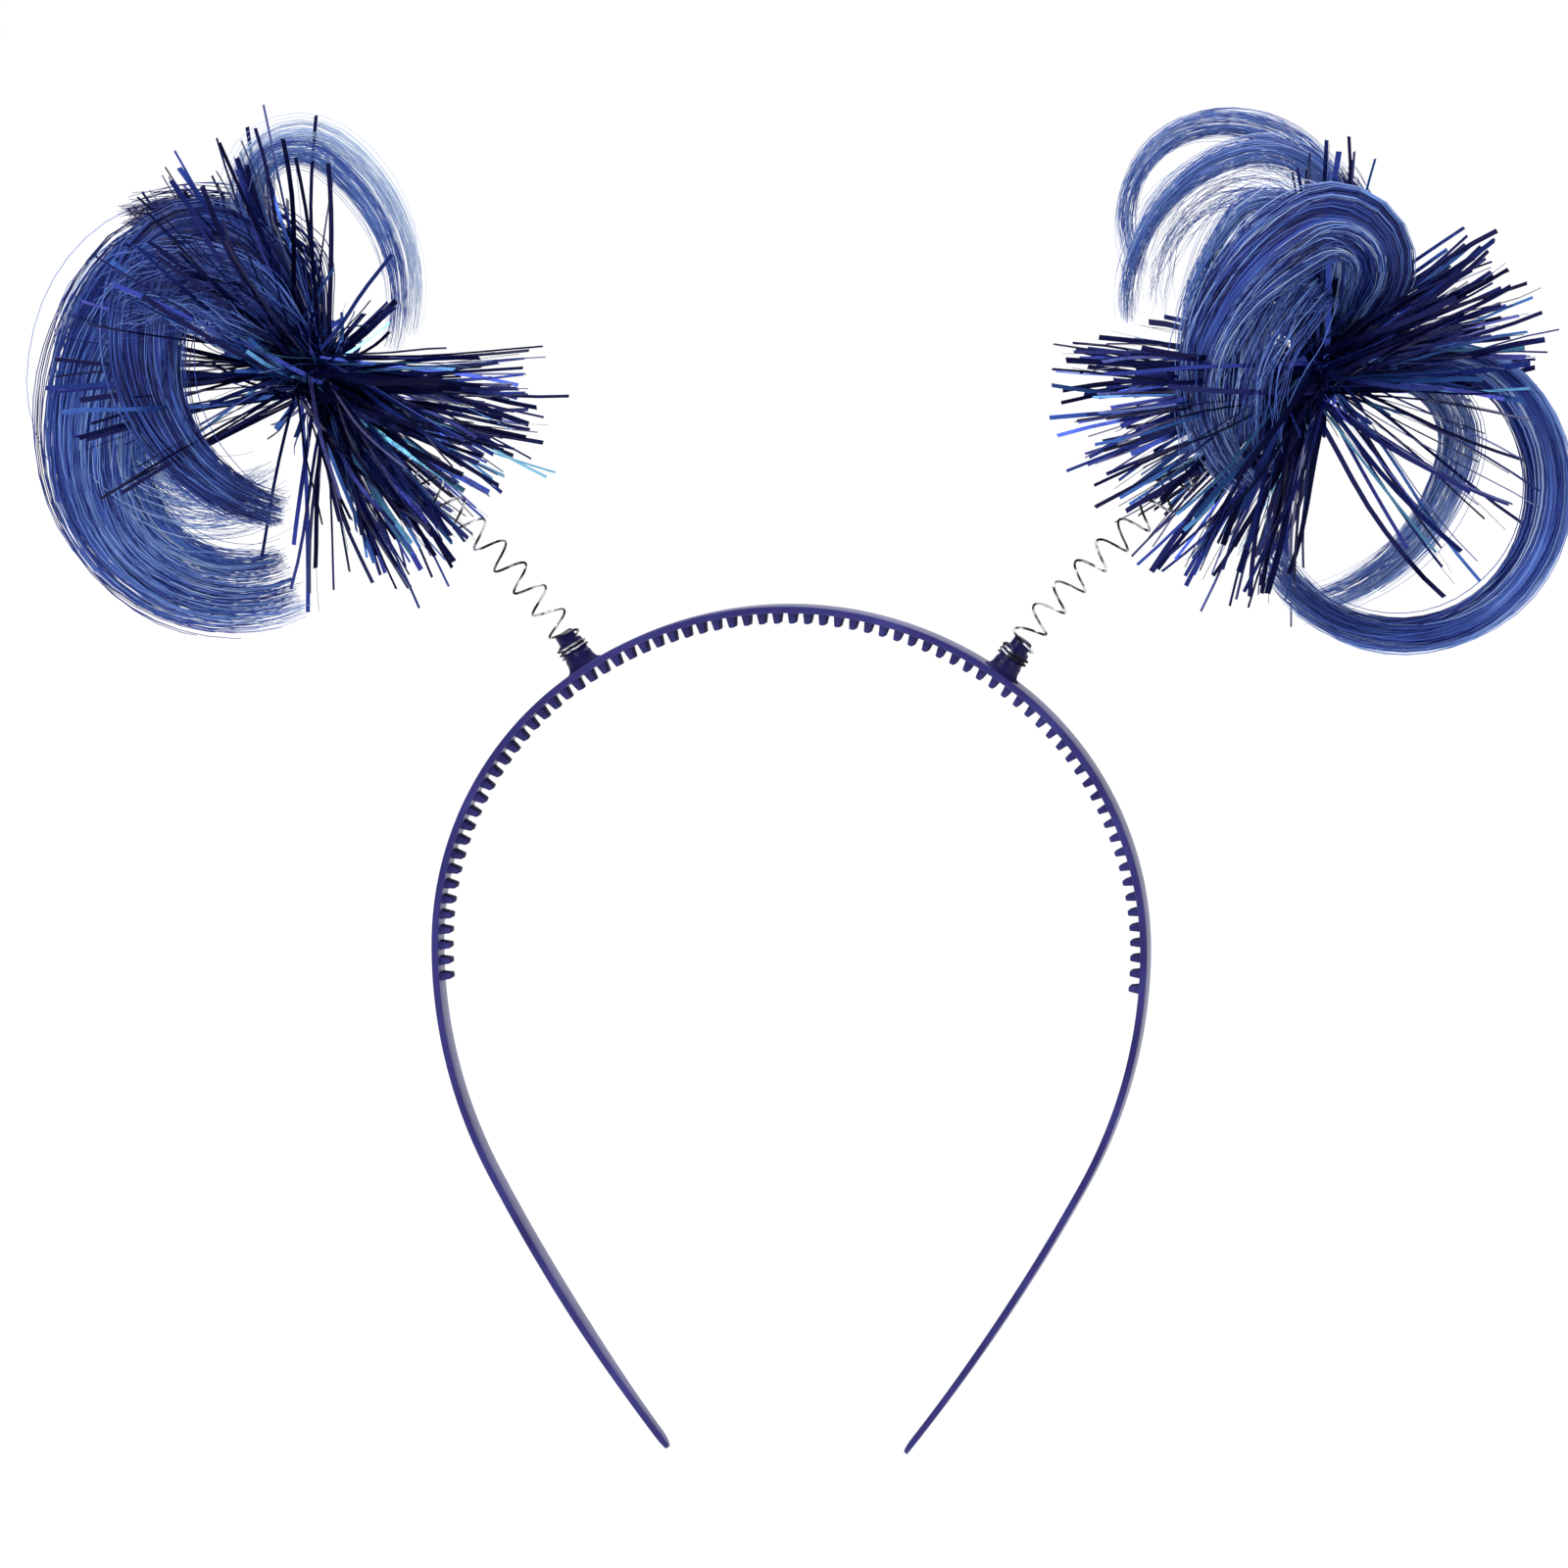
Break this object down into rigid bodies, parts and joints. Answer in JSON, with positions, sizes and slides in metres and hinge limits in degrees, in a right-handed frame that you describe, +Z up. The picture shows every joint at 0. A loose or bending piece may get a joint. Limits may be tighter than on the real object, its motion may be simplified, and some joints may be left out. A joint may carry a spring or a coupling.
{
  "type": "head bopper",
  "caption": "Moulded comb headband whose wire springs carry bouncing pompoms of blue foil strips and curled synthetic hair.",
  "frame": {"origin": "on the crown of the wearer's head, at the tip of the comb's middle tooth", "axes": "+X from one ear to the other, to the right in the picture; +Y to the back of the head; +Z up"},
  "size_m": [0.2714, 0.0598, 0.2358],
  "materials": {
    "band_plastic": "moulded gloss",
    "spring_wire": "bright drawn wire",
    "blue_foil": "metallised film",
    "hair_fibre": "silky synthetic fibre"
  },
  "bodies": {
    "root": {"headband": "band_plastic", "spring_left": "spring_wire", "spring_right": "spring_wire", "tinsel_left": "blue_foil", "tinsel_right": "blue_foil", "hair_left": "hair_fibre", "hair_right": "hair_fibre"}
  },
  "joints": []
}
